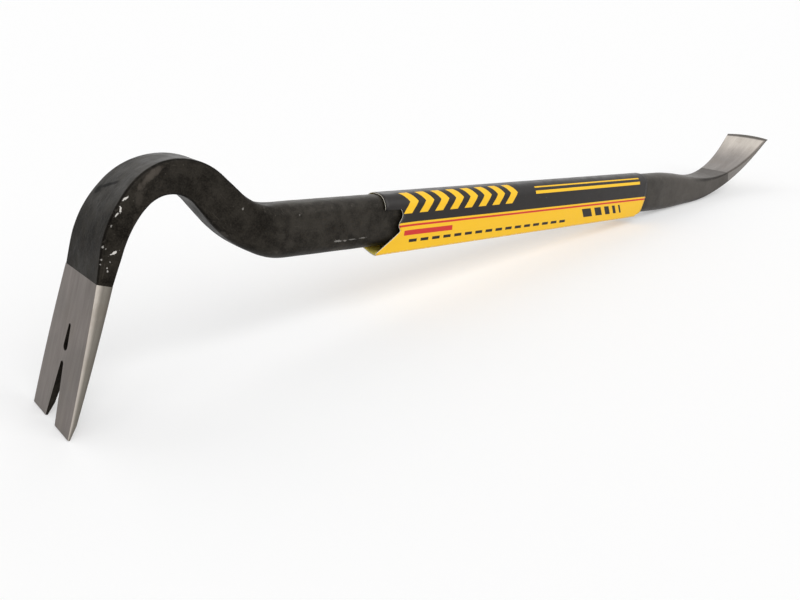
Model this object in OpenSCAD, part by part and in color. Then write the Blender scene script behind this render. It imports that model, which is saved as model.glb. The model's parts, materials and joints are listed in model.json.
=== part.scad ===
// Gooseneck wrecking bar in a folded card sales sleeve.
// The bar is one forging. Its zones are separate solids that meet face to face, because each has its own
// section and finish. The bar stands on its claw tips and on the heel under the chisel.
// Bar frame: X along the shank towards the chisel, Z up in the plane of the hook, X = 0 where the
// S-bend leaves the shank. Part frame: the same, tilted to stand, with the floor at Z = 0.

/* [Shank] */
// Straight length of full section, from the S-bend to the chisel neck
shank_len = 339.5; // [300:0.5:400]
// Height of the oval section
shank_h = 29; // [26:0.5:36]
// Width of the oval section
shank_w = 16; // [15:0.5:20]
// Radius of the section's edges
shank_edge_r = 7; // [3:0.5:7]

/* [Gooseneck] */
// Centre-line radius of the S-bend
sbend_r = 48.5; // [40:0.5:70]
// Turn of the S-bend
sbend_turn = 45.5; // [35:0.5:55]
// Straight run between the S-bend and the hook
rise_len = 12.5; // [6:0.5:30]
// Centre-line radius of the hook
hook_r = 26.5; // [22:0.5:35]
// Turn of the hook
hook_turn = 90; // [75:1:100]
// Centre-line radius of the easy bend from the hook into the claw
sweep_r = 50.6; // [40:0.1:80]
// Turn of the easy bend
sweep_turn = 29.5; // [20:0.5:36]
// Painted straight run from the easy bend to the ground claw
claw_root_len = 13.5; // [6:0.5:20]
// Thickness in the middle of the S-bend
sbend_mid_h = 24; // [20:0.5:28]
// Thickness where the hook starts
rise_h = 19.5; // [15:0.5:22]
// Thickness over the hook's crown
crown_h = 16; // [13:0.5:20]
// Width over the hook's crown
crown_w = 19.5; // [16:0.5:24]
// Thickness where the hook ends
hook_end_h = 12.5; // [10:0.1:15]
// Width where the hook ends
hook_end_w = 28.5; // [22:0.5:32]
// Thickness where the easy bend ends
sweep_end_h = 10; // [7:0.1:11]
// Width where the easy bend ends
sweep_end_w = 35.5; // [32:0.5:40]
// Edge radius over the crown and down the hook
hook_edge_r = 1.4; // [1:0.2:4]

/* [Claw] */
// Length of the ground claw
claw_len = 68; // [60:1:76]
// Width where the ground claw starts
claw_root_w = 37.5; // [34:0.5:42]
// Width at the tips, where the flare of the sides has levelled out
claw_tip_w = 45.5; // [40:0.5:50]
// Thickness where the ground claw starts
claw_root_h = 7.2; // [6:0.1:9]
// Thickness at the tips, before their bevel
claw_tip_h = 2.2; // [1.8:0.1:5]
// Length of the bevel on the inner side of the tips
claw_bevel_len = 6.5; // [3:0.5:10]
// Thickness left at the edge of the tips
claw_edge_h = 1; // [0.6:0.1:2]
// Length of the V between the tips
slot_len = 28; // [20:1:32]
// Width of the V at the tips
slot_tip_w = 12; // [8:0.5:16]
// Width of the V at its closed, round end
slot_end_w = 3.4; // [2:0.1:6]
// Steel left between the V and the nail hole
bridge_len = 4.8; // [3:0.1:8]
// Length of the nail hole
hole_len = 12.5; // [9:0.5:14]
// Width of the nail hole towards the tips
hole_w = 4.6; // [3:0.1:6]
// Width of the nail hole towards the shank
hole_end_w = 2.4; // [1:0.1:3]

/* [Chisel] */
// Straight run from the full section to the chisel's bend
heel_len = 44; // [35:1:60]
// Centre-line radius of the chisel's bend
chisel_r = 117; // [100:1:160]
// Turn of the chisel's bend
chisel_turn = 43.5; // [30:0.5:48]
// Straight run at the chisel's edge
edge_run = 14; // [5:1:30]
// Distance along the bend from its start to the ground blade
paint_run = 46.5; // [30:0.5:55]
// Thickness where the chisel's bend starts
heel_h = 21; // [15:0.5:24]
// Width where the chisel's bend starts
heel_w = 20; // [17:0.5:22]
// Thickness where the ground blade starts
blade_root_h = 9; // [7:0.2:12]
// Width where the ground blade starts
blade_root_w = 25; // [22:0.5:30]
// Thickness in the middle of the blade
blade_mid_h = 4.2; // [2:0.1:5]
// Thickness of the chisel's edge
blade_edge_h = 1; // [0.6:0.1:2]
// Width of the chisel's edge
blade_edge_w = 36; // [28:0.5:45]
// Edge radius where the chisel's bend starts
heel_edge_r = 5; // [2:0.5:6]
// Edge radius where the ground blade starts
blade_edge_r = 1.2; // [0.6:0.2:2]

/* [Card sleeve] */
// Length of the sleeve's top panel
sleeve_len = 254; // [200:1:275]
// Distance from the S-bend to the top panel
sleeve_x = 60.5; // [35:0.5:62]
// How far the front fold stands out past the top panel, at the S-bend's end
lip_len = 4.6; // [1:0.2:10]
// How much the folds stop short of the top panel, at the chisel's end
end_slant = 5; // [0:0.5:15]
// Depth of the notch in the front panel, at the S-bend's end
notch_len = 11; // [4:0.5:30]
// Height of the notch's lower corner over the fold
notch_h = 11; // [6:0.5:16]
// Width of the top panel between the rounded shoulders
top_w = 10.4; // [8:0.2:12]
// Thickness of the card
card_t = 0.5; // [0.3:0.1:0.8]
// Gap over the shank's top
top_gap = 0.3; // [0.2:0.1:1]
// Slack between the shank and the glue flap, and as much more at the front as the flap is thick
flap_gap = 0.4; // [0.3:0.1:1.5]
// Slack under the shank at the S-bend's end
bottom_gap = 3.2; // [0.5:0.1:5]
// Slack under the shank at the chisel's end
end_gap = 0.5; // [0.3:0.1:5]
// Inner radius of the bottom folds
fold_r = 1; // [0.5:0.1:3]
// Height of the glue flap inside the back panel
flap_h = 14; // [8:1:20]
// Slant of the glue flap's ends
flap_slant = 6; // [0:0.5:12]

/* [Hidden] */
$fn = 64;

paint_black = [0.16, 0.155, 0.15];
bare_steel = [0.60, 0.58, 0.55];
card_yellow = [0.98, 0.78, 0.12];
card_black = [0.10, 0.09, 0.09];

// Lofts: distance between rings, points on each rounded corner, and the flat left between two corners
ring_step = 3.2;
corner_points = 7;
min_flat = 0.04;
// Stretches of each flared side of the claw
claw_side_steps = 12;
// What a cut runs past a face
overrun = 2;

// Stretches of a route, each [length, turn in degrees]
function bend(r, turn) = [r * abs(turn) * PI / 180, turn];
gooseneck_route = [
  bend(sbend_r, -sbend_turn),
  [rise_len, 0],
  bend(hook_r, hook_turn),
  bend(sweep_r, sweep_turn),
  [claw_root_len, 0]
];
chisel_route = [[heel_len, 0], bend(chisel_r, chisel_turn), [edge_run, 0]];

// A pose is [x, z, heading]: where a route is, and which way it goes in the plane of the hook
function go(pose, run, turn) =
  let (
    from = pose[2],
    to = from + turn,
    r = turn == 0 ? 0 : run * 180 / PI / turn
  )
  turn == 0
    ? [pose[0] + run * cos(from), pose[1] + run * sin(from), from]
    : [pose[0] + r * (sin(to) - sin(from)), pose[1] - r * (cos(to) - cos(from)), to];
function along(pose, route, s, i = 0) =
  let (run = route[i][0], turn = route[i][1])
  i == len(route) - 1 || s <= run
    ? go(pose, s, turn * s / run)
    : along(go(pose, run, turn), route, s - run, i + 1);
function route_len(route, upto, i = 0) = i == upto ? 0 : route[i][0] + route_len(route, upto, i + 1);

shank_start = [0, 0, 180];
shank_end = [shank_len, 0, 0];
sbend_mid_s = route_len(gooseneck_route, 1) / 2;
rise_s = route_len(gooseneck_route, 2);
crown_s = rise_s + bend(hook_r, sbend_turn)[0];
hook_end_s = route_len(gooseneck_route, 3);
sweep_end_s = route_len(gooseneck_route, 4);
paint_s = route_len(gooseneck_route, 5);
blade_root_s = heel_len + paint_run;
chisel_end_s = route_len(chisel_route, 3);
blade_mid_s = (blade_root_s + chisel_end_s) / 2;

// Stations along the routes, each [distance, thickness, width, edge radius]
claw_edge_r = 1;
shank_section = [shank_h, shank_w, shank_edge_r];
gooseneck_stations = [
  concat(0, shank_section),
  [sbend_mid_s, sbend_mid_h, shank_w, (shank_edge_r + hook_edge_r) / 2],
  [rise_s, rise_h, shank_w, hook_edge_r],
  [crown_s, crown_h, crown_w, hook_edge_r],
  [hook_end_s, hook_end_h, hook_end_w, hook_edge_r],
  [sweep_end_s, sweep_end_h, sweep_end_w, (hook_edge_r + claw_edge_r) / 2],
  [paint_s, claw_root_h, claw_root_w, claw_edge_r]
];
chisel_stations = [
  concat(0, shank_section),
  [heel_len, heel_h, heel_w, heel_edge_r],
  [blade_root_s, blade_root_h, blade_root_w, blade_edge_r],
  [blade_mid_s, blade_mid_h, (blade_root_w + blade_edge_w) / 2, blade_edge_r],
  [chisel_end_s, blade_edge_h, blade_edge_w, blade_edge_h / 3]
];

// Section at a distance along a route: a smooth curve through the stations, level at the shank
function slope(stations, i) =
  i == 0 ? 0 * stations[0]
  : let (a = stations[i - 1], b = stations[min(i + 1, len(stations) - 1)]) (b - a) / (b[0] - a[0]);
function interval(stations, s, i = 0) =
  i == len(stations) - 2 || s <= stations[i + 1][0] ? i : interval(stations, s, i + 1);
function section_at(stations, s) =
  let (
    i = interval(stations, s),
    a = stations[i],
    b = stations[i + 1],
    run = b[0] - a[0],
    t = (s - a[0]) / run,
    t2 = t * t,
    t3 = t2 * t
  )
  (2 * t3 - 3 * t2 + 1) * a + (t3 - 2 * t2 + t) * run * slope(stations, i)
    + (3 * t2 - 2 * t3) * b + (t3 - t2) * run * slope(stations, i + 1);

// Outline of a rounded rectangle, as [height, width] pairs, from the top right corner round
function section_outline(h, w, edge_r) =
  let (r = min(edge_r, (h - min_flat) / 2, (w - min_flat) / 2))
  [
    for (corner = [0:3], k = [0:corner_points - 1])
      let (
        turn = corner * 90 + k * 90 / (corner_points - 1),
        up = corner == 0 || corner == 3 ? 1 : -1,
        side = corner < 2 ? 1 : -1
      )
      [up * (h / 2 - r) + r * cos(turn), side * (w / 2 - r) + r * sin(turn)]
  ];

// Ring of points round a route, and the rings between two distances.
// side is 1 where the left of the route is its upper side, and -1 where the right is.
function ring(pose, section, side) = [
  for (p = section_outline(section[1], section[2], section[3]))
    [pose[0] - side * p[0] * sin(pose[2]), side * p[1], pose[1] + side * p[0] * cos(pose[2])]
];
function rings(start, route, stations, from, to, side) =
  let (count = ceil((to - from) / ring_step))
  [
    for (k = [0:count])
      let (s = from + (to - from) * k / count)
      ring(along(start, route, s), section_at(stations, s), side)
  ];
gooseneck_rings = rings(shank_start, gooseneck_route, gooseneck_stations, 0, paint_s, -1);
neck_rings = rings(shank_end, chisel_route, chisel_stations, 0, blade_root_s, 1);
blade_rings = rings(shank_end, chisel_route, chisel_stations, blade_root_s, chisel_end_s, 1);

// Claw: its own frame starts at the ground line, X to the tips, Z to the inner side
claw_pose = along(shank_start, gooseneck_route, paint_s);
claw_outline = [
  [0, -claw_root_h / 2],
  [claw_len, -claw_tip_h / 2],
  [claw_len, -claw_tip_h / 2 + claw_edge_h],
  [claw_len - claw_bevel_len, claw_tip_h / 2],
  [0, claw_root_h / 2]
];
function claw_half_w(x) = (claw_tip_w - (claw_tip_w - claw_root_w) * pow(1 - x / claw_len, 2)) / 2;
claw_side = [for (k = [0:claw_side_steps]) let (x = claw_len * k / claw_side_steps) [x, claw_half_w(x)]];
function claw_point(p) =
  let (a = claw_pose[2])
  [claw_pose[0] + p[0] * cos(a) - p[1] * sin(a), 0, claw_pose[1] + p[0] * sin(a) + p[1] * cos(a)];
tip_points = [for (i = [1:3]) claw_point(claw_outline[i])];

// Stance: the line under the tips and the heel is level, and the box is centred over the origin
heel_points = [for (r = neck_rings, p = r) p];
function tilt_from(tip) = min([for (p = heel_points) atan2(p[2] - tip[2], p[0] - tip[0])]);
stance_tilt = max([for (tip = tip_points) tilt_from(tip)]);
function standing(p) = [
  p[0] * cos(stance_tilt) + p[2] * sin(stance_tilt),
  p[2] * cos(stance_tilt) - p[0] * sin(stance_tilt)
];
far_points = [for (r = concat(gooseneck_rings, blade_rings), p = r) p];
box_points = [for (p = concat(tip_points, heel_points, far_points)) standing(p)];
stance_x = (min([for (p = box_points) p[0]]) + max([for (p = box_points) p[0]])) / 2;
stance_z = min([for (p = box_points) p[1]]);

// Card sleeve: a tube of card round the shank, split at its folds. Its bottom hangs lower at the S-bend's end.
inner_half_w = shank_w / 2 + flap_gap + card_t;
outer_half_w = inner_half_w + card_t;
arch_r = shank_edge_r + top_gap;
arch_z = shank_h / 2 - shank_edge_r;
sleeve_end = sleeve_x + sleeve_len;
notch_x = sleeve_x + notch_len;
// Fold lines, as [x, z], and their height at a place along the shank
fold_start = [sleeve_x - lip_len, -shank_h / 2 - bottom_gap + fold_r];
fold_end = [sleeve_end - end_slant, -shank_h / 2 - end_gap + fold_r];
fold_run = norm(fold_end - fold_start);
fold_tilt = atan2(fold_end[1] - fold_start[1], fold_end[0] - fold_start[0]);
function fold_z(x) = fold_start[1] + (x - fold_start[0]) * tan(fold_tilt);

module stand() {
  translate([-stance_x, 0, -stance_z])
    rotate([0, stance_tilt, 0])
      children();
}

module loft(loops) {
  n = len(loops[0]);
  last = len(loops) - 1;
  points = [for (r = loops, p = r) p];
  sides = [
    for (i = [0:last - 1], k = [0:n - 1], half = [0, 1])
      let (a = i * n + k, b = i * n + (k + 1) % n)
      half == 0 ? [a, b, b + n] : [a, b + n, a + n]
  ];
  ends = [[for (k = [n - 1:-1:0]) k], [for (k = [0:n - 1]) last * n + k]];
  polyhedron(points, concat(sides, ends));
}

// Rounded rectangle across the shank
module rounded_rect(w, h, r) {
  for (side = [-1, 1], up = [-1, 1])
    translate([side * (w / 2 - r), up * (h / 2 - r)])
      circle(r);
  square([w - 2 * r, h], center = true);
  square([w, h - 2 * r], center = true);
}

// Places an outline drawn across the shank (width, height) along it
module along_shank(x, run) {
  stand()
    translate([x, 0, 0])
      rotate([90, 0, 90])
        linear_extrude(run)
          children();
}

module shank() {
  color(paint_black)
    along_shank(0, shank_len)
      rounded_rect(shank_w, shank_h, shank_edge_r);
}

module gooseneck() {
  color(paint_black)
    stand()
      loft(gooseneck_rings);
}

module chisel_neck() {
  color(paint_black)
    stand()
      loft(neck_rings);
}

module chisel_blade() {
  color(bare_steel)
    stand()
      loft(blade_rings);
}

// V between the tips, with a round end
module slot() {
  end_r = slot_end_w / 2;
  end_x = claw_len - slot_len + end_r;
  linear_extrude(claw_root_h + 2 * overrun, center = true) {
    translate([end_x, 0])
      circle(end_r);
    polygon([
      [end_x, -end_r], [claw_len, -slot_tip_w / 2], [claw_len + overrun, -slot_tip_w / 2],
      [claw_len + overrun, slot_tip_w / 2], [claw_len, slot_tip_w / 2], [end_x, end_r]
    ]);
  }
}

// Nail hole: a closed teardrop, with its wide end towards the tips
module nail_hole() {
  end_x = claw_len - slot_len - bridge_len;
  wide_x = end_x - hole_w / 2;
  narrow_x = end_x - hole_len + hole_end_w / 2;
  linear_extrude(claw_root_h + 2 * overrun, center = true) {
    translate([wide_x, 0])
      circle(hole_w / 2);
    translate([narrow_x, 0])
      circle(hole_end_w / 2);
    polygon([
      [narrow_x, -hole_end_w / 2], [wide_x, -hole_w / 2], [wide_x, hole_w / 2], [narrow_x, hole_end_w / 2]
    ]);
  }
}

module claw() {
  color(bare_steel)
    stand()
      translate([claw_pose[0], 0, claw_pose[1]])
        rotate([0, -claw_pose[2], 0])
          difference() {
            intersection() {
              rotate([90, 0, 0])
                linear_extrude(claw_tip_w + claw_root_w, center = true)
                  polygon(claw_outline);
              linear_extrude(claw_root_h + 2 * overrun, center = true)
                polygon(concat(
                  [for (p = claw_side) [p[0], -p[1]]],
                  [for (k = [claw_side_steps:-1:0]) claw_side[k]]
                ));
            }
            slot();
            nail_hole();
          }
}

// Area under a strip that is bent down at both edges, drawn across the shank
module under_strip(half_w, r) {
  for (side = [-1, 1])
    translate([side * (half_w - r), 0])
      circle(r);
  translate([r - half_w, 0])
    square([2 * (half_w - r), r]);
}

// Card bent down at both edges, with its cut edges at height 0
module bent_card(r) {
  difference() {
    under_strip(outer_half_w, r + card_t);
    under_strip(inner_half_w, r);
    translate([-outer_half_w - overrun, -outer_half_w])
      square([2 * (outer_half_w + overrun), outer_half_w]);
  }
}

// A flat panel beside the shank, from its outline along and up it and the place of its far face
module flat_panel(far_y, outline) {
  stand()
    translate([0, far_y, 0])
      rotate([90, 0, 0])
        linear_extrude(card_t)
          polygon(outline);
}

// Card bent over the shank, from one place across it to another
module over_shank(from_y, to_y) {
  color(card_black)
    along_shank(sleeve_x, sleeve_len)
      translate([0, arch_z])
        intersection() {
          bent_card(arch_r);
          translate([from_y, -overrun])
            square([to_y - from_y, arch_r + card_t + 2 * overrun]);
        }
}

module sleeve_top_panel() {
  over_shank(-top_w / 2, top_w / 2);
}

module sleeve_front_shoulder() {
  over_shank(-outer_half_w - overrun, -top_w / 2);
}

module sleeve_back_shoulder() {
  over_shank(top_w / 2, outer_half_w + overrun);
}

module sleeve_front_panel() {
  color(card_yellow)
    flat_panel(-inner_half_w, [
      [notch_x, arch_z], [notch_x, fold_z(notch_x) + notch_h], fold_start, fold_end, [sleeve_end, arch_z]
    ]);
}

module sleeve_back_panel() {
  color(card_yellow)
    flat_panel(outer_half_w, [
      [sleeve_x, arch_z], [sleeve_x, fold_z(sleeve_x)], fold_end, [sleeve_end, arch_z]
    ]);
}

// Its lip at the S-bend's end slants back from the front fold to the back one
module sleeve_bottom_panel() {
  color(card_yellow)
    stand()
      translate([fold_start[0], 0, fold_start[1]])
        rotate([0, -fold_tilt, 0])
          intersection() {
            rotate([90, 0, 90])
              linear_extrude(fold_run)
                mirror([0, 1])
                  bent_card(fold_r);
            linear_extrude(2 * (fold_r + card_t + overrun), center = true)
              polygon([
                [0, -outer_half_w], [fold_run, -outer_half_w], [fold_run, outer_half_w], [lip_len, outer_half_w]
              ]);
          }
}

module sleeve_glue_flap() {
  color(card_yellow)
    flat_panel(inner_half_w, [
      [sleeve_x, fold_z(sleeve_x)], [sleeve_x + flap_slant, fold_z(sleeve_x) + flap_h],
      [fold_end[0] - flap_slant, fold_end[1] + flap_h], fold_end
    ]);
}

claw();
gooseneck();
shank();
chisel_neck();
chisel_blade();
sleeve_top_panel();
sleeve_front_shoulder();
sleeve_back_shoulder();
sleeve_front_panel();
sleeve_back_panel();
sleeve_bottom_panel();
sleeve_glue_flap();
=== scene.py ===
"""Looks of a gooseneck wrecking bar in a folded card sleeve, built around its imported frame.

Sizes are in millimetres, in the bar's own frame: X along the shank towards the chisel, Z up in the plane of
the hook, X = 0 where the S-bend leaves the shank. STAND places that frame, in metres, where the part stands.
"""

import json
import math

import bpy
from mathutils import Matrix, Vector, noise
from mathutils.geometry import tessellate_polygon


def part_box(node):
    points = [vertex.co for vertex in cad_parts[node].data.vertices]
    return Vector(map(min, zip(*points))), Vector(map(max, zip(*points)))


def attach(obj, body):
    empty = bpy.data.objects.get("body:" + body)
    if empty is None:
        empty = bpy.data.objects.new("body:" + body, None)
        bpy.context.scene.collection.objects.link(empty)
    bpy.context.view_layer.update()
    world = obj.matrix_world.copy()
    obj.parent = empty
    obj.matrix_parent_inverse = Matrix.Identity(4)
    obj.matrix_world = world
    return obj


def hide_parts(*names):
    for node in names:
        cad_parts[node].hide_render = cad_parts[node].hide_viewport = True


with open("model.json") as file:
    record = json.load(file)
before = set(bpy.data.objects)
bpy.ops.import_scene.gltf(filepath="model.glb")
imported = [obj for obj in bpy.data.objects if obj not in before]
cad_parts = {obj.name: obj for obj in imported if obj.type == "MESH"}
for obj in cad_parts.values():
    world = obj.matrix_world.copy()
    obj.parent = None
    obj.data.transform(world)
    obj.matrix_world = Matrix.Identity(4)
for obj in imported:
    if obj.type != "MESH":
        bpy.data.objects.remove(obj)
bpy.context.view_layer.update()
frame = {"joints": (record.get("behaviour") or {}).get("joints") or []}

MM = 0.001

# Shank
SHANK_LEN = 339.5
SHANK_H = 29
SHANK_W = 16
SHANK_EDGE_R = 7

# Gooseneck
SBEND_R = 48.5
SBEND_TURN = 45.5
RISE_LEN = 12.5
HOOK_R = 26.5
HOOK_TURN = 90
SWEEP_R = 50.6
SWEEP_TURN = 29.5
CLAW_ROOT_LEN = 13.5
HOOK_EDGE_R = 1.4

# Claw
CLAW_LEN = 68
CLAW_ROOT_W = 37.5
CLAW_TIP_W = 45.5
CLAW_ROOT_H = 7.2
CLAW_TIP_H = 2.2
CLAW_BEVEL_LEN = 6.5
CLAW_EDGE_H = 1
CLAW_EDGE_R = 1
SLOT_LEN = 28
SLOT_TIP_W = 12
SLOT_END_W = 3.4
BRIDGE_LEN = 4.8
HOLE_LEN = 12.5
HOLE_W = 4.6
HOLE_END_W = 2.4
ROUND_STEPS = 12
CLAW_SIDE_STEPS = 16
# The claw's long sides, from its outer face (0) to its inner one (1): where their rows are, how they round
CLAW_ROWS = (0, 0.05, 0.11, 0.18, 0.26, 0.36, 0.5, 0.66, 0.82, 0.9, 0.95, 1)
OUTER_ROUND = 0.36
OUTER_ROUND_IN = 0.3
INNER_ROUND = 0.18
INNER_ROUND_IN = 0.6
BURR_R = 0.2
SHARP_ANGLE = math.radians(32)

# Chisel
HEEL_LEN = 44
CHISEL_R = 117
CHISEL_TURN = 43.5
EDGE_RUN = 14
PAINT_RUN = 46.5
EDGE_BEVEL_LEN = 4.5
EDGE_BEVEL_DROP = 0.65
EDGE_BOW = 1.7
EDGE_BOW_RUN = 12
RIM_W = 2.4

# Card sleeve
SLEEVE_X = 60.5
SLEEVE_LEN = 254
LIP_LEN = 4.6
END_SLANT = 5
NOTCH_LEN = 11
NOTCH_H = 11
CARD_T = 0.5
TOP_GAP = 0.3
FLAP_GAP = 0.4
BOTTOM_GAP = 3.2
END_GAP = 0.5
FOLD_R = 1
FLAP_H = 14
FLAP_SLANT = 6

# Fineness of the meshes
RING_STEP = 1.1
SHANK_RING_STEP = 2.5
FLAT_STEPS = 10
CORNER_STEPS = 8
MIN_FLAT = 0.04
CARD_STEP = 2.5

# Forging: how deep its unevenness goes, how wide it is, and how far from a ground line it fades out
FORGE_DEPTH = 0.16
FORGE_WIDTH = 13
FORGE_FADE = 8

# Camera of the photograph, in the bar's frame, and its focal length in picture widths
CAMERA_PLACE = (-216.05, -336.16, 96.33)
CAMERA_FORWARD = (0.63407, 0.70846, -0.30991)
CAMERA_UP = (0.14356, 0.28596, 0.94742)
CAMERA_FOCAL = 0.99462
SENSOR_MM = 36


def standing_frame():
    """Where the bar's frame lies in the part: along the sleeve's slide, in the middle of the shank's box."""
    axis = Vector(frame["joints"][0]["axis"])
    low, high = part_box("shank")
    tilt = Matrix.Rotation(math.atan2(-axis.z, axis.x), 4, "Y")
    return Matrix.Translation((low + high) / 2) @ tilt @ Matrix.Translation((-SHANK_LEN / 2 * MM, 0, 0))


STAND = standing_frame()


# Routes and sections of the bar

def bend(radius, degrees):
    """A stretch of a route, as (length, turn in radians)."""
    return radius * math.radians(abs(degrees)), math.radians(degrees)


GOOSENECK_ROUTE = [
    bend(SBEND_R, -SBEND_TURN),
    (RISE_LEN, 0),
    bend(HOOK_R, HOOK_TURN),
    bend(SWEEP_R, SWEEP_TURN),
    (CLAW_ROOT_LEN, 0),
]
CHISEL_ROUTE = [(HEEL_LEN, 0), bend(CHISEL_R, CHISEL_TURN), (EDGE_RUN, 0)]


def route_length(route, stretches):
    return sum(length for length, _ in route[:stretches])


SBEND_MID_S = route_length(GOOSENECK_ROUTE, 1) / 2
RISE_S = route_length(GOOSENECK_ROUTE, 2)
CROWN_S = RISE_S + bend(HOOK_R, SBEND_TURN)[0]
HOOK_END_S = route_length(GOOSENECK_ROUTE, 3)
SWEEP_END_S = route_length(GOOSENECK_ROUTE, 4)
PAINT_S = route_length(GOOSENECK_ROUTE, 5)
BLADE_ROOT_S = HEEL_LEN + PAINT_RUN
CHISEL_END_S = route_length(CHISEL_ROUTE, 3)
BLADE_MID_S = (BLADE_ROOT_S + CHISEL_END_S) / 2

# Stations along a route: (distance, thickness, width, edge radius)
GOOSENECK_STATIONS = [
    (0, SHANK_H, SHANK_W, SHANK_EDGE_R),
    (SBEND_MID_S, 24, SHANK_W, (SHANK_EDGE_R + HOOK_EDGE_R) / 2),
    (RISE_S, 19.5, SHANK_W, HOOK_EDGE_R),
    (CROWN_S, 16, 19.5, HOOK_EDGE_R),
    (HOOK_END_S, 12.5, 28.5, HOOK_EDGE_R),
    (SWEEP_END_S, 10, 35.5, (HOOK_EDGE_R + CLAW_EDGE_R) / 2),
    (PAINT_S, CLAW_ROOT_H, CLAW_ROOT_W, CLAW_EDGE_R),
]
CHISEL_STATIONS = [
    (0, SHANK_H, SHANK_W, SHANK_EDGE_R),
    (HEEL_LEN, 21, 20, 5),
    (BLADE_ROOT_S, 9, 25, 1.2),
    (BLADE_MID_S, 4.2, 30.5, 1.2),
    (CHISEL_END_S, 1, 36, 0.33),
]


def go(pose, run, turn):
    """The pose (x, z, heading) after a stretch that turns evenly."""
    x, z, heading = pose
    if turn == 0:
        return x + run * math.cos(heading), z + run * math.sin(heading), heading
    radius = run / turn
    after = heading + turn
    x += radius * (math.sin(after) - math.sin(heading))
    z -= radius * (math.cos(after) - math.cos(heading))
    return x, z, after


def along(pose, route, distance):
    for run, turn in route[:-1]:
        if distance <= run:
            return go(pose, distance, turn * distance / run)
        pose = go(pose, run, turn)
        distance -= run
    return go(pose, distance, route[-1][1] * distance / route[-1][0])


def pose_at(s):
    """Pose at a distance along the whole bar: below 0 in the gooseneck, past SHANK_LEN in the chisel."""
    if s < 0:
        x, z, heading = along((0, 0, math.pi), GOOSENECK_ROUTE, -s)
        return x, z, heading - math.pi
    if s <= SHANK_LEN:
        return s, 0, 0
    return along((SHANK_LEN, 0, 0), CHISEL_ROUTE, s - SHANK_LEN)


def slope(stations, i):
    """Rate of change of a section at a station, level at the shank."""
    if i == 0:
        return [0] * 4
    before, after = stations[i - 1], stations[min(i + 1, len(stations) - 1)]
    return [(b - a) / (after[0] - before[0]) for a, b in zip(before, after)]


def smooth_section(stations, distance):
    """(thickness, width, edge radius) on a smooth curve through the stations."""
    i = 0
    while i < len(stations) - 2 and distance > stations[i + 1][0]:
        i += 1
    a, b = stations[i], stations[i + 1]
    run = b[0] - a[0]
    t = (distance - a[0]) / run
    weights = (2 * t**3 - 3 * t**2 + 1, (t**3 - 2 * t**2 + t) * run, 3 * t**2 - 2 * t**3, (t**3 - t**2) * run)
    curves = zip(a, slope(stations, i), b, slope(stations, i + 1))
    return [sum(w * value for w, value in zip(weights, curve)) for curve in curves][1:]


def section_at(s):
    if s < 0:
        return smooth_section(GOOSENECK_STATIONS, -s)
    if s <= SHANK_LEN:
        return SHANK_H, SHANK_W, SHANK_EDGE_R
    return smooth_section(CHISEL_STATIONS, s - SHANK_LEN)


def outline(height, width, edge_r):
    """Points (up, across, edge, side) round a rounded rectangle.

    Edge is 1 in the middle of a corner and 0 on the flats. Side is 1 on the two flats beside the bar.
    """
    r = min(edge_r, (height - MIN_FLAT) / 2, (width - MIN_FLAT) / 2)
    corners = []
    for corner in range(4):
        up_side = 1 if corner in (0, 3) else -1
        side = 1 if corner < 2 else -1
        arc = []
        for k in range(CORNER_STEPS + 1):
            share = k / CORNER_STEPS
            turn = math.radians(90 * (corner + share))
            up = up_side * (height / 2 - r) + r * math.cos(turn)
            across = side * (width / 2 - r) + r * math.sin(turn)
            arc.append((up, across, math.sin(math.pi * share), math.sin(turn) ** 2))
        corners.append(arc)
    points = []
    for corner, arc in enumerate(corners):
        points.extend(arc)
        a, b = arc[-1], corners[(corner + 1) % 4][0]
        for k in range(1, FLAT_STEPS):
            share = k / FLAT_STEPS
            points.append(tuple(p + (q - p) * share for p, q in zip(a, b)))
    return points


def forging_depth(s, across, up):
    """How deep the forged surface lies under the true one, fading out at the ground lines."""
    place = Vector((s, across, up)) / FORGE_WIDTH
    rough = 0.65 * noise.noise(place) + 0.35 * noise.noise(place * 2.7)
    to_ground = min(s + PAINT_S, SHANK_LEN + BLADE_ROOT_S - s)
    fade = min(1, max(0, to_ground / FORGE_FADE))
    return FORGE_DEPTH * fade * (0.5 + 0.5 * max(-1, min(1, 1.6 * rough)))


def bar_point(s, up, across):
    x, z, angle = pose_at(s)
    return Vector((x - up * math.sin(angle), across, z + up * math.cos(angle)))


def to_edge(s, run):
    """Goes from 0 to 1 over the last run before the chisel's edge."""
    return max(0, (s - SHANK_LEN - CHISEL_END_S + run) / run)


def bar_ring(s):
    """Points of the bar's surface at a distance, each with its straightened place and its marks.

    The marks say how much it is an edge, how much it is a side, and how far in from the side it lies.
    """
    height, width, edge_r = section_at(s)
    bevel = to_edge(s, EDGE_BEVEL_LEN)
    ring = []
    for up, across, edge, side in outline(height, width, edge_r):
        depth = 2 * forging_depth(s, across, up)
        pull = EDGE_BOW * (2 * across / width) ** 2 * to_edge(s, EDGE_BOW_RUN) ** 2
        if up > 0:
            up -= EDGE_BEVEL_DROP * bevel
            edge = max(edge, min(1, 3 * bevel))
        point = bar_point(s - pull, up * (1 - depth / height), across * (1 - depth / width))
        ring.append((point, (s, across, up), (edge, side, (width / 2 - abs(across)) * MM)))
    return ring


# Meshes

def new_object(name, points, faces, materials):
    """A smooth mesh object from points in the bar's frame."""
    mesh = bpy.data.meshes.new(name)
    mesh.from_pydata([STAND @ (Vector(p) * MM) for p in points], [], faces)
    mesh.shade_smooth()
    for material in materials:
        mesh.materials.append(material)
    piece = bpy.data.objects.new(name, mesh)
    bpy.context.scene.collection.objects.link(piece)
    return piece


def store(piece, name, vectors):
    """Keeps a vector per point on the mesh, for its material."""
    attribute = piece.data.attributes.new(name, "FLOAT_VECTOR", "POINT")
    attribute.data.foreach_set("vector", [x for vector in vectors for x in vector])


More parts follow.
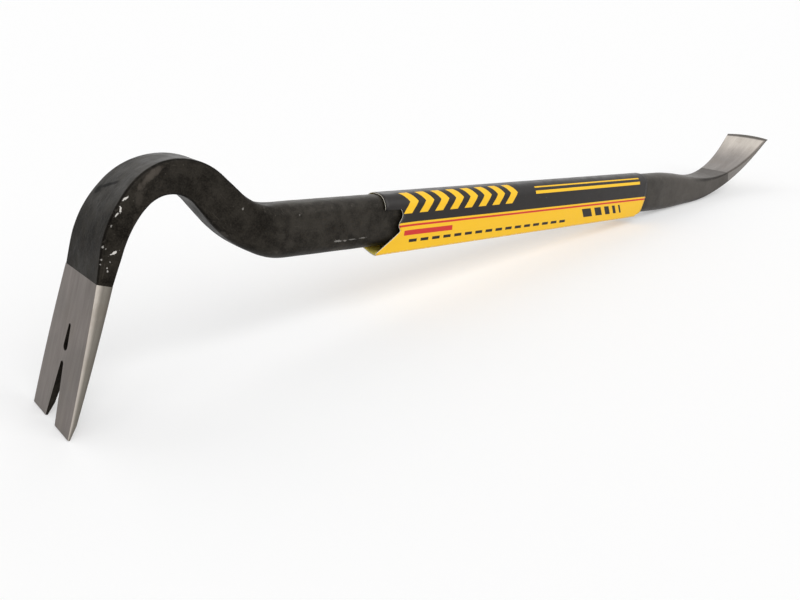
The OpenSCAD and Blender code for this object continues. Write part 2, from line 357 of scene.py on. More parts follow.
def ring_normals(rings):
    """Normals of a tube of rings, from the neighbours of each point, leaving out the first and last rings."""
    normals = []
    for before, ring, after in zip(rings, rings[1:], rings[2:]):
        n = len(ring)
        for k in range(n):
            round_it = ring[(k + 1) % n][0] - ring[k - 1][0]
            normals.append(round_it.cross(after[k][0] - before[k][0]).normalized())
    return normals


def loft_piece(name, start, end, step, material):
    """A stretch of the bar from one distance to another, with normals that run on into its neighbours."""
    count = math.ceil((end - start) / step)
    distances = [start + (end - start) * k / count for k in range(-1, count + 2)]
    rings = [bar_ring(min(max(s, -PAINT_S), SHANK_LEN + CHISEL_END_S)) for s in distances]
    kept = [vertex for ring in rings[1:-1] for vertex in ring]
    n = len(rings[0])
    sides = [
        (i * n + k, i * n + (k + 1) % n, (i + 1) * n + (k + 1) % n, (i + 1) * n + k)
        for i in range(count)
        for k in range(n)
    ]
    caps = [tuple(reversed(range(n))), tuple(range(count * n, (count + 1) * n))]
    piece = new_object(name, [point for point, _, _ in kept], sides + caps, [material])
    store(piece, "straight", [[x * MM for x in place] for _, place, _ in kept])
    store(piece, "marks", [marks for _, _, marks in kept])
    turn = STAND.to_3x3()
    smooth = [turn @ normal for normal in ring_normals(rings)]
    loops = []
    for polygon in piece.data.polygons:
        is_cap = len(polygon.vertices) == n
        loops.extend(polygon.normal if is_cap else smooth[v] for v in polygon.vertices)
    piece.data.normals_split_custom_set(loops)
    return piece


# Claw

def claw_half_width(x):
    return (CLAW_TIP_W - (CLAW_TIP_W - CLAW_ROOT_W) * (1 - x / CLAW_LEN) ** 2) / 2


def slot_half_width(x):
    end_x = CLAW_LEN - SLOT_LEN + SLOT_END_W / 2
    return (SLOT_END_W + (SLOT_TIP_W - SLOT_END_W) * (x - end_x) / (CLAW_LEN - end_x)) / 2


def claw_plan():
    """Outline (x, y, is it a long side) of the claw: near side, near tip, slot, far tip, far side."""
    crease = CLAW_LEN - CLAW_BEVEL_LEN
    end_r = SLOT_END_W / 2
    end_x = CLAW_LEN - SLOT_LEN + end_r
    side_xs = [crease * k / CLAW_SIDE_STEPS for k in range(CLAW_SIDE_STEPS + 1)] + [CLAW_LEN]
    half = [(x, claw_half_width(x), True) for x in side_xs]
    half += [(x, slot_half_width(x), False) for x in (CLAW_LEN, crease, end_x)]
    turns = [math.pi * k / ROUND_STEPS for k in range(1, ROUND_STEPS)]
    slot_end = [(end_x - end_r * math.sin(a), -end_r * math.cos(a), False) for a in turns]
    return [(x, -y, side) for x, y, side in half] + slot_end + half[::-1]


def half_round(middle, radius, start):
    """Half a turn clockwise round a point on the claw's middle line, from an angle in radians."""
    turns = [start - math.pi * k / ROUND_STEPS for k in range(ROUND_STEPS + 1)]
    return [(middle + radius * math.cos(a), radius * math.sin(a), False) for a in turns]


def hole_plan():
    """Outline of the closed nail hole, the other way round than the claw's own."""
    end_x = CLAW_LEN - SLOT_LEN - BRIDGE_LEN
    wide = half_round(end_x - HOLE_W / 2, HOLE_W / 2, math.pi / 2)
    narrow = half_round(end_x - HOLE_LEN + HOLE_END_W / 2, HOLE_END_W / 2, -math.pi / 2)
    return wide + narrow


def side_inset(t):
    """How far in a long side of the claw lies, between its outer face (0) and its inner one (1)."""
    outer = OUTER_ROUND_IN * max(0, 1 - t / OUTER_ROUND) ** 1.8
    inner = INNER_ROUND_IN * max(0, 1 - (1 - t) / INNER_ROUND) ** 2
    return outer + inner


def claw_row(plan, t):
    """A loop of points round the claw, at a share of the way from its outer face to its inner one."""
    row = []
    for x, y, is_side in plan:
        thickness = CLAW_ROOT_H + (CLAW_TIP_H - CLAW_ROOT_H) * x / CLAW_LEN
        depth = CLAW_EDGE_H if x == CLAW_LEN else thickness
        inset = side_inset(t) if is_side else 0
        row.append((x, y - math.copysign(inset, y), depth * t - thickness / 2))
    return row


FACE, SIDE, PAINT = range(3)


def wall_material(plan, a, b):
    """Which material a wall of the claw takes, between two plan points."""
    if plan[a][2] and plan[b][2] and plan[a][0] != plan[b][0]:
        return SIDE
    at_tip = plan[a][0] == CLAW_LEN and plan[b][0] == CLAW_LEN
    return FACE if at_tip else PAINT


def pierced_face(loop, hole, local, facing):
    """Triangles of a flat face with a hole in it, all facing the same way across the claw."""
    ring = loop + hole
    corners = [[Vector((local[i][0], local[i][1], 0)) for i in part] for part in (loop, hole)]
    faces = []
    for triangle in tessellate_polygon(corners):
        a, b, c = [ring[k] for k in triangle]
        (ax, ay, _), (bx, by, _), (cx, cy, _) = local[a], local[b], local[c]
        turn = (bx - ax) * (cy - ay) - (by - ay) * (cx - ax)
        faces.append((a, b, c) if turn * facing > 0 else (a, c, b))
    return faces


def walls(plan, first):
    """Quads between the rows of a loop of points, and the material of each."""
    n = len(plan)
    faces = []
    indices = []
    for j in range(len(CLAW_ROWS) - 1):
        low, high = first + j * n, first + (j + 1) * n
        for i in range(n):
            k = (i + 1) % n
            faces.append((low + i, low + k, high + k, high + i))
            indices.append(wall_material(plan, i, k))
    return faces, indices


def wear_edges(piece):
    """Rounds a piece's sharp edges a little."""
    bevel = piece.modifiers.new("worn_edges", "BEVEL")
    bevel.limit_method = "ANGLE"
    bevel.angle_limit = SHARP_ANGLE
    bevel.width = BURR_R * MM
    bevel.segments = 2
    bevel.harden_normals = True


def claw_piece(materials):
    """The claw: ground outer face and sides, bare tips, painted inner face, V and nail hole."""
    plan = claw_plan()
    hole = hole_plan()
    n = len(plan)
    rows = len(CLAW_ROWS)
    local = [point for loop in (plan, hole) for t in CLAW_ROWS for point in claw_row(loop, t)]
    top = (rows - 1) * n
    hole_top = rows * n + (rows - 1) * len(hole)
    main = [top + i for i, (x, _, _) in enumerate(plan) if x < CLAW_LEN]
    near_tip = range(CLAW_SIDE_STEPS, CLAW_SIDE_STEPS + 4)
    tips = [tuple(top + i for i in near_tip), tuple(top + n - 1 - i for i in reversed(near_tip))]
    outer = pierced_face(list(range(n)), list(range(rows * n, rows * n + len(hole))), local, -1)
    inner = pierced_face(main, list(range(hole_top, hole_top + len(hole))), local, 1)
    side_faces, side_indices = walls(plan, 0)
    hole_faces, hole_indices = walls(hole, rows * n)
    faces = outer + inner + tips + side_faces + hole_faces
    indices = [FACE] * len(outer) + [PAINT] * len(inner) + [FACE] * 2 + side_indices + hole_indices
    piece = new_object("ground_claw", [bar_point(-PAINT_S - x, -z, y) for x, y, z in local], faces, materials)
    piece.data.polygons.foreach_set("material_index", indices)
    piece.data.set_sharp_from_angle(angle=SHARP_ANGLE)
    store(piece, "straight", [((-PAINT_S - x) * MM, y * MM, -z * MM) for x, y, z in local])
    store(piece, "depth", [(t, 0, 0) for loop in (plan, hole) for t in CLAW_ROWS for _ in loop])
    wear_edges(piece)
    return piece


# Card sleeve

HALF_W = SHANK_W / 2 + FLAP_GAP + CARD_T * 1.5
FLAP_Y = HALF_W - CARD_T
ARCH_R = SHANK_EDGE_R + TOP_GAP + CARD_T / 2
ARCH_Z = SHANK_H / 2 - SHANK_EDGE_R
BEND_R = FOLD_R + CARD_T / 2
QUARTER = math.pi / 2 * BEND_R
BOTTOM_W = HALF_W + FLAP_Y - 2 * BEND_R
SLEEVE_END = SLEEVE_X + SLEEVE_LEN
FOLD_START = (SLEEVE_X - LIP_LEN, -SHANK_H / 2 - BOTTOM_GAP + FOLD_R)
FOLD_END = (SLEEVE_END - END_SLANT, -SHANK_H / 2 - END_GAP + FOLD_R)
ARCH_LEN = math.pi * ARCH_R + 2 * (HALF_W - ARCH_R)
PANEL_H = ARCH_Z - (FOLD_START[1] + FOLD_END[1]) / 2

# How the loose card departs from its folds: rounded corner, notch's step, torn and curled end, bow, waves
CORNER_CUT = 5
CORNER_H = 2.6
NOTCH_STEP = 0.4
TEAR = 1.5
CURL = 0.8
CURL_RUN = 16
BOW = 0.35
WAVE = 0.25
WAVE_LEN = 30

CARD_STRETCHES = [
    ("flap", 6),
    ("back_fold", 5),
    ("bottom", 8),
    ("front_fold", 5),
    ("front", 24),
    ("front_arch", 14),
    ("ridge", 2),
    ("back_arch", 14),
    ("back", 18),
]


def fold_z(x):
    share = (x - FOLD_START[0]) / (FOLD_END[0] - FOLD_START[0])
    return FOLD_START[1] + (FOLD_END[1] - FOLD_START[1]) * share


def arc_point(centre_y, centre_z, radius, start, end, share):
    """A point (y, z) on a bend of the card, from one angle to another, in degrees from +Y up."""
    a = math.radians(start + (end - start) * share)
    return centre_y + radius * math.cos(a), centre_z + radius * math.sin(a)


def card_path(x, stretch, share):
    """(y, z, print height) on the card's middle surface, on a stretch from the flap round to the back."""
    low = fold_z(x)
    panel = ARCH_Z - low
    ridge = (2 * share - 1) * (HALF_W - ARCH_R)
    if stretch == "flap":
        rise = FLAP_H * (1 - share)
        return FLAP_Y, low + rise, -panel - 2 * QUARTER - BOTTOM_W - rise
    if stretch == "back_fold":
        y, z = arc_point(FLAP_Y - BEND_R, low, BEND_R, 0, -90, share)
        return y, z, -panel - QUARTER * (2 - share) - BOTTOM_W
    if stretch == "bottom":
        return FLAP_Y - BEND_R - BOTTOM_W * share, low - BEND_R, -panel - QUARTER - BOTTOM_W * (1 - share)
    if stretch == "front_fold":
        y, z = arc_point(BEND_R - HALF_W, low, BEND_R, -90, -180, share)
        return y, z, -panel - QUARTER * (1 - share)
    if stretch == "front":
        return -HALF_W - BOW * math.sin(math.pi * share), low + panel * share, -panel * (1 - share)
    if stretch == "front_arch":
        y, z = arc_point(ARCH_R - HALF_W, ARCH_Z, ARCH_R, 180, 90, share)
        return y, z, math.pi / 2 * ARCH_R * share
    if stretch == "ridge":
        return ridge, ARCH_Z + ARCH_R, ARCH_LEN / 2 + ridge
    if stretch == "back_arch":
        y, z = arc_point(HALF_W - ARCH_R, ARCH_Z, ARCH_R, 90, 0, share)
        return y, z, ARCH_LEN - math.pi / 2 * ARCH_R * (1 - share)
    return HALF_W, ARCH_Z - (panel + BEND_R / 2) * share, ARCH_LEN + panel * share


def corner_trim(height):
    """What the rounded lower corner at the chisel's end takes off, at a height over the fold."""
    return CORNER_CUT * max(0, 1 - height / CORNER_H) ** 2


def card_start(stretch, share):
    """Where the card starts along the shank, at the S-bend's end."""
    if stretch == "flap":
        return SLEEVE_X + FLAP_SLANT * (1 - share)
    if stretch == "bottom":
        return SLEEVE_X - LIP_LEN * share
    if stretch == "front_fold":
        return SLEEVE_X - LIP_LEN
    if stretch == "front":
        slant = FOLD_START[0] + (LIP_LEN + NOTCH_LEN) * min(1, share * PANEL_H / NOTCH_H)
        to_arch = max(0, 1 - (1 - share) * PANEL_H / NOTCH_STEP)
        over_notch = max(0, (share * PANEL_H - NOTCH_H) / (PANEL_H - NOTCH_H))
        tear = TEAR * (1 - to_arch) * math.sin(2 * math.pi * over_notch)
        return slant - tear - NOTCH_LEN * to_arch
    return SLEEVE_X


def card_stop(stretch, share):
    """Where the card stops along the shank, at the chisel's end."""
    if stretch == "flap":
        return FOLD_END[0] - CORNER_CUT - FLAP_SLANT * (1 - share)
    if stretch == "front":
        return SLEEVE_END - END_SLANT * (1 - share) ** 1.6 - corner_trim(share * PANEL_H)
    if stretch == "back":
        return SLEEVE_END - END_SLANT * share**1.6 - corner_trim((1 - share) * PANEL_H)
    if stretch in ("back_fold", "bottom", "front_fold"):
        return FOLD_END[0] - CORNER_CUT
    return SLEEVE_END


def card_rows():
    """(stretch, share) of each line of points along the card, with two close ones at the notch's top."""
    rows = [("flap", 0)]
    for stretch, steps in CARD_STRETCHES:
        shares = [k / steps for k in range(1, steps + 1)]
        if stretch == "front":
            shares.insert(-1, 1 - NOTCH_STEP / PANEL_H)
        rows.extend((stretch, share) for share in shares)
    return rows


def card_lift(stretch, share, x):
    """How far a loose panel stands off the bar: waves along it, and the front panel's cut end curling out."""
    free = math.sin(math.pi * share)
    wave = WAVE * free * (1 + noise.noise(Vector((x, 10 * share, 0)) / WAVE_LEN))
    if stretch != "front":
        return wave
    from_end = (x - card_start(stretch, share)) / CURL_RUN
    return wave + CURL * free * max(0, 1 - from_end) ** 2


def card_point(stretch, share, x):
    """A point of the card and its place on the print: (along, height, how worn its crease is)."""
    y, z, height = card_path(x, stretch, share)
    if stretch == "front":
        y -= card_lift(stretch, share, x)
    if stretch == "bottom":
        z -= card_lift(stretch, share, x)
    crease = math.sin(math.pi * share) if stretch in ("front_fold", "back_fold") else 0
    return (x, y, z), ((x - SLEEVE_X) * MM, height * MM, crease)


def card_piece(materials):
    """The folded card as one sheet: printed outside, plain inside, pale at its cut edges."""
    rows = card_rows()
    count = math.ceil(SLEEVE_LEN / CARD_STEP)
    made = []
    for stretch, share in rows:
        start, stop = card_start(stretch, share), card_stop(stretch, share)
        made.extend(card_point(stretch, share, start + (stop - start) * k / count) for k in range(count + 1))
    n = count + 1
    faces = [
        (j * n + k, j * n + k + 1, (j + 1) * n + k + 1, (j + 1) * n + k)
        for j in range(len(rows) - 1)
        for k in range(count)
    ]
    piece = new_object("card_sleeve", [point for point, _ in made], faces, materials)
    store(piece, "print", [place for _, place in made])
    solid = piece.modifiers.new("card", "SOLIDIFY")
    solid.thickness = CARD_T * MM
    solid.offset = 0
    solid.material_offset = 1
    solid.material_offset_rim = 2
    return piece


# Materials

def srgb(red, green, blue):
    """A colour as it looks on screen, 0 to 255, as the linear colour that nodes take."""
    def linear(value):
        value /= 255
        return value / 12.92 if value <= 0.04045 else ((value + 0.055) / 1.055) ** 2.4
    return linear(red), linear(green), linear(blue), 1


class Finish:
    """A material and the nodes that feed its shader. Values are sockets or plain numbers and colours."""

    def __init__(self, name):
        self.material = bpy.data.materials.new(name)
        self.material.use_nodes = True
        self.tree = self.material.node_tree
        self.shader = self.tree.nodes["Principled BSDF"]

    def feed(self, socket, value):
        if isinstance(value, bpy.types.NodeSocket):
            self.tree.links.new(value, socket)
        else:
            socket.default_value = value

    def node(self, kind, inputs, output=0, **settings):
        node = self.tree.nodes.new(kind)
        for key, value in settings.items():
            setattr(node, key, value)
        for key, value in inputs.items():
            self.feed(node.inputs[key], value)
        return node.outputs[output]

    def set(self, **inputs):
        for key, value in inputs.items():
            self.feed(self.shader.inputs[key.replace("_", " ")], value)

    def stored(self, name):
        """A vector that is kept on the mesh."""
        return self.node("ShaderNodeAttribute", {}, 1, attribute_name=name)

    def split(self, vector):
        return [self.node("ShaderNodeSeparateXYZ", {0: vector}, axis) for axis in range(3)]

    def math(self, operation, a, b=0.0):
        return self.node("ShaderNodeMath", {0: a, 1: b}, operation=operation)

    def times(self, *values):
        product = values[0]
        for value in values[1:]:
            product = self.math("MULTIPLY", product, value)
        return product

    def scaled(self, vector, x, y, z):
        return self.node("ShaderNodeVectorMath", {0: vector, 1: (x, y, z)}, operation="MULTIPLY")

    def noise(self, vector, scale, detail=3.0, roughness=0.5):
        inputs = {"Vector": vector, "Scale": scale, "Detail": detail, "Roughness": roughness}
        return self.node("ShaderNodeTexNoise", inputs)

    def between(self, value, low, high, to_low=0.0, to_high=1.0):
        """Runs smoothly from to_low to to_high as a value goes from low to high."""
        inputs = {"Value": value, "From Min": low, "From Max": high, "To Min": to_low, "To Max": to_high}
        return self.node("ShaderNodeMapRange", inputs, interpolation_type="SMOOTHSTEP")

    def over(self, value, stretch, to_low=0.0, to_high=1.0):
        """The same over a stretch (from, to) in millimetres."""
        return self.between(value, stretch[0] * MM, stretch[1] * MM, to_low, to_high)

    def mix(self, share, a, b):
        node = self.tree.nodes.new("ShaderNodeMix")
        node.data_type = "RGBA"
        for index, value in ((0, share), (6, a), (7, b)):
            self.feed(node.inputs[index], value)
        return node.outputs[2]

    def bump(self, height, distance, strength, normal=None):
        inputs = {"Height": height, "Distance": distance, "Strength": strength}
        if normal is not None:
            inputs["Normal"] = normal
        return self.node("ShaderNodeBump", inputs)


# Paint chips on the near side: distance along the bar, height over its middle, length, height, lean, bareness
CHIPS = [
    (-95.8, 4.5, 2.5, 0.9, -27, 0.9),
    (-100.6, 3.7, 2.6, 0.8, 35, 0.9),
    (-103.1, 4.1, 2.0, 0.7, -14, 0.8),
    (-107.8, 4.1, 0.7, 0.7, 0, 0.35),
    (-116.5, 4.5, 0.9, 0.8, 0, 0.55),
    (-116.9, 3.2, 0.5, 0.5, 0, 0.3),
    (-117.8, -0.7, 3.1, 0.8, -52, 0.9),
    (-121.5, 4.0, 0.7, 0.6, 0, 0.4),
    (-123.5, 4.0, 0.6, 0.7, 0, 0.4),
    (-124.5, 0.9, 0.8, 0.7, 0, 0.5),
    (-125.8, 0.4, 1.0, 0.8, 0, 0.55),
    (-121.8, 0.1, 0.6, 0.6, 0, 0.3),
    (30.3, -7.2, 5.0, 1.0, 0, 0.28),
    (34.9, -7.5, 2.4, 0.8, 0, 0.26),
    (39.6, -7.2, 5.0, 0.6, 0, 0.22),
    (47.0, -7.1, 4.5, 0.6, 0, 0.22),
    (-32.2, 4.9, 1.1, 1.1, 0, 0.3),
    (5.6, 8.8, 0.8, 0.8, 0, 0.2),
]
# Painted sheen: smoother, lighter patches of the near side under the crown, in the same terms
SHEENS = [(-82, 4.2, 14, 3.4, 11, 0.3), (-93, -1, 10, 4, 20, 0.1)]
# Dark rubs on the hook's outer face: distance along the bar, place across it, length, width, lean, darkness
RUBS = [(-94.4, 4.4, 2.4, 17, 23, 0.85), (-97.2, 9.5, 5.5, 7, 23, 0.75), (-85.2, 5.7, 3, 1, 0, 0.6)]

# Where the paint changes, in millimetres along the bar, up or across it
# Painted dark reflection along the edges of the hook and of the chisel's neck, fading in over these stretches
HOOK_CORNERS = (-25, -45)
NECK_CORNERS = (SHANK_LEN + 30, SHANK_LEN + 60)
# Painted light: the neck greyed towards the chisel, as if lit more
NECK_LIT = (285, 380)
# Painted highlight along the top of the shank, fading out into the S-bend
TOP_HIGHLIGHT_ALONG = (-20, 5)
TOP_HIGHLIGHT_UP = (11, 14.5)
# Painted shade in the paint's reflections: weaker down the gooseneck and the hook, and towards the far side
SBEND_REFLECTION_SHADE = (5, -25)
HOOK_REFLECTION_SHADE = (-75, -120)
FAR_REFLECTION_SHADE = (-14, 16)
NEAR_SIDE = (-0.5, -1.5)
OUTER_FACE = (3, 4)


def spots(finish, u, v, marks, ragged, soft):
    """The strongest of a set of ragged ellipses, over two coordinates in metres."""
    flat = finish.node("ShaderNodeCombineXYZ", {0: u, 1: v})
    strongest = 0.0
    for at_u, at_v, length, width, lean, strength in marks:
        inputs = {
            "Vector": flat,
            "Location": (at_u * MM, at_v * MM, 0),
            "Rotation": (0, 0, math.radians(lean)),
            "Scale": (length / 2 * MM, width / 2 * MM, 1),
        }
        local = finish.node("ShaderNodeMapping", inputs, vector_type="TEXTURE")
        spread = finish.node("ShaderNodeVectorMath", {0: local, 1: local}, 1, operation="DOT_PRODUCT")
        mark = finish.between(finish.times(spread, ragged), 1.2, soft, 0, strength)
        strongest = finish.math("MAXIMUM", strongest, mark)
    return strongest


class Forging:
    """Masks over the painted forging, from the places and marks that are kept on its mesh."""

    def __init__(self, finish):
        self.finish = finish
        self.place = finish.stored("straight")
        self.along_bar, self.across, self.up = finish.split(self.place)
        self.edge, self.side, _ = finish.split(finish.stored("marks"))
        self.dents = finish.noise(self.place, 190, 3, 0.55)
        self.grain = finish.noise(self.place, 1300, 3, 0.6)
        blotch = finish.noise(self.place, 70, 5, 0.62)
        self.tone = finish.math("ADD", finish.times(blotch, 0.6), finish.times(self.dents, 0.4))
        to_hook = finish.over(self.along_bar, HOOK_CORNERS)
        to_chisel = finish.over(self.along_bar, NECK_CORNERS)
        # Painted dark reflection along the edges of the hook and of the chisel's neck
        self.sharp = finish.times(self.edge, self.edge, finish.math("MAXIMUM", to_hook, to_chisel))
        self.rubbed = self.outer_marks(RUBS)
        self.bare = self.near_marks(CHIPS, 1500, 0.6)

    def near_marks(self, marks, grain, soft):
        """Marks on the near side of the bar, with edges as ragged as a grain makes them."""
        finish = self.finish
        ragged = finish.between(finish.noise(self.place, grain, 2), 0.3, 0.7, 0.3, 1.7)
        found = spots(finish, self.along_bar, self.up, marks, ragged, soft)
        near = finish.over(self.across, NEAR_SIDE)
        return finish.times(found, near, finish.between(self.side, 0.15, 0.4))

    def outer_marks(self, marks):
        """Marks on the hook's outer face."""
        finish = self.finish
        ragged = finish.between(finish.noise(self.place, 300, 3), 0.3, 0.7, 0.5, 1.5)
        found = spots(finish, self.along_bar, self.across, marks, ragged, 0.1)
        outer = finish.over(self.up, OUTER_FACE)
        return finish.times(found, outer, finish.between(self.side, 0.4, 0.1))


def paint_colour(bar):
    """Blotched black, with scratches and bare chips, painted light that greys the neck, a painted highlight
    along the top, a painted sheen on the near side and painted dark reflections along the edges.
    """
    finish = bar.finish
    scratches = finish.between(finish.noise(finish.scaled(bar.place, 90, 1500, 1500), 1, 3, 0.6), 0.62, 0.75)
    specks = finish.between(finish.noise(bar.place, 620, 2, 0.7), 0.68, 0.76)
    worn = finish.between(finish.noise(bar.place, 240, 4, 0.7), 0.56, 0.7)
    # Painted light on the neck, lighter on its top than on its sides
    neck_light = finish.mix(finish.between(bar.side, 0.3, 0.8), srgb(96, 92, 88), srgb(80, 76, 72))
    # painted highlight along the top of the shank
    top_highlight = finish.times(finish.over(bar.up, TOP_HIGHLIGHT_UP, 0, 0.24), finish.over(bar.along_bar, TOP_HIGHLIGHT_ALONG))
    paint = finish.mix(finish.between(bar.tone, 0.4, 0.62), srgb(17, 15, 12), srgb(36, 33, 28))
    layers = [
        (finish.between(bar.grain, 0.36, 0.66, 0, 0.45), srgb(50, 46, 41)),
        # painted light greying the neck
        (finish.over(bar.along_bar, NECK_LIT, 0, 0.9), neck_light),
        # painted highlight along the top
        (top_highlight, srgb(100, 97, 92)),
        (finish.times(scratches, 0.10), srgb(120, 114, 105)),
        (finish.times(specks, 0.16), srgb(130, 124, 114)),
        # painted sheen on the near side
        (bar.near_marks(SHEENS, 180, 0.0), srgb(116, 108, 100)),
        # painted dark reflection along the edges
        (finish.times(bar.sharp, 0.7), srgb(13, 11, 10)),
        (finish.times(bar.edge, worn, 0.3), srgb(104, 99, 92)),
        (bar.rubbed, srgb(9, 9, 8)),
        (bar.bare, srgb(212, 208, 202)),
    ]
    for share, colour in layers:
        paint = finish.mix(share, paint, colour)
    return paint


def paint_gloss(bar):
    """How much the paint shines: less on dark edges and rubs, with painted shade in its reflections down the
    gooseneck and the hook and towards its far side.
    """
    finish = bar.finish
    dark = finish.math("MAXIMUM", bar.rubbed, finish.times(bar.sharp, 0.7))
    return finish.times(
        finish.between(bar.tone, 0.36, 0.66, 0.105, 0.25),
        # painted shade in the reflections down the gooseneck, the hook and the far side
        finish.over(bar.along_bar, SBEND_REFLECTION_SHADE, 1, 0.55),
        finish.over(bar.along_bar, HOOK_REFLECTION_SHADE, 1, 0.54),
        finish.over(bar.across, FAR_REFLECTION_SHADE, 1.06, 0.8),
        finish.between(dark, 0, 1, 1, 0.25),
    )


def black_paint():
    """Satin black paint over a forged surface."""
    finish = Finish("black_paint")
    bar = Forging(finish)
    finish.set(Base_Color=paint_colour(bar), Specular_IOR_Level=paint_gloss(bar))
    finish.set(Roughness=finish.between(bar.dents, 0.35, 0.65, 0.38, 0.52), Specular_Tint=srgb(255, 248, 238))
    normal = finish.bump(bar.dents, 0.5 * MM, 0.4)
    normal = finish.bump(bar.grain, 0.05 * MM, 0.4, normal)
    finish.set(Normal=finish.bump(bar.bare, -0.12 * MM, 0.6, normal))
    return finish.material


LINE_DARK = srgb(48, 45, 42)


def belt_ground(finish, steel):
    """Finishes a bare steel colour with the lines of a grinding belt, faint warm stains and small nicks."""
    place = finish.stored("straight")
    fine = finish.noise(finish.scaled(place, 40, 2600, 2600), 1, 4, 0.65)
    coarse = finish.noise(finish.scaled(place, 12, 260, 260), 1, 3)
    tone = finish.math("ADD", finish.times(fine, 0.55), finish.times(coarse, 0.45))
    stains = finish.between(finish.noise(place, 60, 4, 0.6), 0.5, 0.72, 0, 0.25)
    nicks = finish.between(finish.noise(place, 420, 2, 0.7), 0.7, 0.78, 0, 0.4)
    steel = finish.mix(finish.between(tone, 0.3, 0.7, 0.22, 0), steel, LINE_DARK)
    steel = finish.mix(stains, steel, srgb(112, 102, 91))
    finish.set(Base_Color=finish.mix(nicks, steel, LINE_DARK), Metallic=1.0)
    finish.set(Roughness=finish.between(tone, 0.3, 0.7, 0.5, 0.36))
    finish.set(Normal=finish.bump(tone, 0.03 * MM, 0.6))
    return finish.material


def face_steel():
    """The claw's outer face and tips."""
    finish = Finish("face_steel")
    uneven = finish.between(finish.noise(finish.stored("straight"), 45, 2), 0.35, 0.65)
    return belt_ground(finish, finish.mix(uneven, srgb(109, 102, 97), srgb(118, 110, 105)))


def side_steel():
    """The claw's sides: a painted highlight where they round into the outer face, darker towards the inner
    one.
    """
    finish = Finish("side_steel")
    depth = finish.split(finish.stored("depth"))[0]
    # Painted light: bright where the side rounds into the outer face, darker towards the inner face
    steel = finish.mix(finish.between(depth, 0.08, 0.45), srgb(188, 180, 171), srgb(127, 122, 114))
    return belt_ground(finish, finish.mix(finish.between(depth, 0.5, 1), steel, srgb(106, 101, 94)))


def blade_steel():
    """The chisel's ground steel, with a painted highlight that brightens its face towards the edge, painted
    shade that darkens its sides there, and darker along its edges and the rim of its face.
    """
    finish = Finish("blade_steel")
    place = finish.stored("straight")
    edge, side, inset = finish.split(finish.stored("marks"))
    along_bar, across, _ = finish.split(place)
    on_face = finish.times(finish.between(side, 0.5, 0.2), finish.over(across, (0, -2)))
    rim = finish.times(finish.over(inset, (RIM_W, RIM_W / 3), 0, 0.7), on_face)
    uneven = finish.times(finish.math("SUBTRACT", finish.noise(place, 50, 3), 0.5), 14 * MM)
    reach = finish.math("ADD", along_bar, uneven)
    to_tip = finish.over(reach, (SHANK_LEN + BLADE_MID_S - 6, SHANK_LEN + CHISEL_END_S - 8))
    # painted highlight: the face brighter towards the edge
    steel = finish.mix(to_tip, srgb(130, 125, 121), srgb(182, 175, 167))
    # painted shade: the sides darker towards the edge
    painted_side_shade = finish.mix(to_tip, srgb(136, 132, 127), srgb(74, 68, 63))
    steel = finish.mix(finish.times(finish.between(side, 0.5, 0.9), 0.8), steel, painted_side_shade)
    steel = finish.mix(finish.times(finish.math("MAXIMUM", edge, rim), 0.9), steel, srgb(62, 57, 52))
    return belt_ground(finish, steel)


# Print on the card: a black top over a yellow field, with plain bars, chevrons and dashes
YELLOW = srgb(246, 194, 36)
INK = srgb(27, 23, 21)
RED = srgb(206, 52, 44)
PAPER = srgb(236, 228, 206)
PRINT_SOFT = 0.12
BAND_LOW = -8
CHEVRONS = 8
CHEVRON_PITCH = 12
CHEVRON_W = 6.5
CHEVRON_START = 18
CHEVRON_HEIGHTS = (-3, 10)
CHEVRON_LEAN = 0.8
DASH_PITCH = 9
DASH_W = 6.5
DASH_BOX = (17, 161, -19.8, -18)
RULE_BOXES = [(126, 244, 5.5, 6.5), (126, 244, 1.5, 3.5)]
RED_BOXES = [(-20, 300, BAND_LOW - 2.4, BAND_LOW - 1.2), (14, 52, -15.5, -12.5)]
BAR_HEIGHTS = (-18, -12)
BAR_LEAN = 0.6
BARS = [(178, 10), (192, 7.5), (203.5, 5.5), (213, 3.5), (220.5, 2)]


class Print:
    """Masks over the flat card, from the distance along it and the height over a panel's top, in millimetres.

    The back panel carries the same print as the front one, turned over the ridge.
    """

    def __init__(self, finish):
        self.finish = finish
        x, y, crease = finish.split(finish.stored("print"))
        self.x = finish.times(x, 1 / MM)
        from_ridge = finish.math("ABSOLUTE", finish.math("SUBTRACT", finish.times(y, 1 / MM), ARCH_LEN / 2))
        self.y = finish.math("SUBTRACT", ARCH_LEN / 2, from_ridge)
        self.crease = crease

    def inside(self, value, low, high):
        rise = self.finish.between(value, low - PRINT_SOFT, low + PRINT_SOFT)
        return self.finish.times(rise, self.finish.between(value, high + PRINT_SOFT, high - PRINT_SOFT))

    def box(self, left, right, low, high):
        return self.finish.times(self.inside(self.x, left, right), self.inside(self.y, low, high))

    def leaning(self, middle, lean):
        """Distance along the card, leaning with the height over a middle."""
        height = self.finish.math("SUBTRACT", self.y, middle)
        return self.finish.math("ADD", self.x, self.finish.times(height, lean))

    def chevron(self, middle, lean):
        """Distance along the card, leaning away from a middle height on both sides."""
        away = self.finish.math("ABSOLUTE", self.finish.math("SUBTRACT", self.y, middle))
        return self.finish.math("ADD", self.x, self.finish.times(away, lean))

    def repeat(self, value, pitch):
        return self.finish.math("MODULO", self.finish.math("ADD", value, 50 * pitch), pitch)

    def either(self, *masks):
        whole = masks[0]
        for mask in masks[1:]:
            whole = self.finish.math("MAXIMUM", whole, mask)
        return whole


def chevron_row(art):
    """A row of whole chevrons on the black top."""
    point = art.chevron(sum(CHEVRON_HEIGHTS) / 2, CHEVRON_LEAN)
    row = art.inside(point, CHEVRON_START, CHEVRON_START + CHEVRONS * CHEVRON_PITCH - 1)
    steps = art.repeat(art.finish.math("SUBTRACT", point, CHEVRON_START), CHEVRON_PITCH)
    return art.finish.times(row, art.inside(steps, 0.2, CHEVRON_W), art.inside(art.y, *CHEVRON_HEIGHTS))


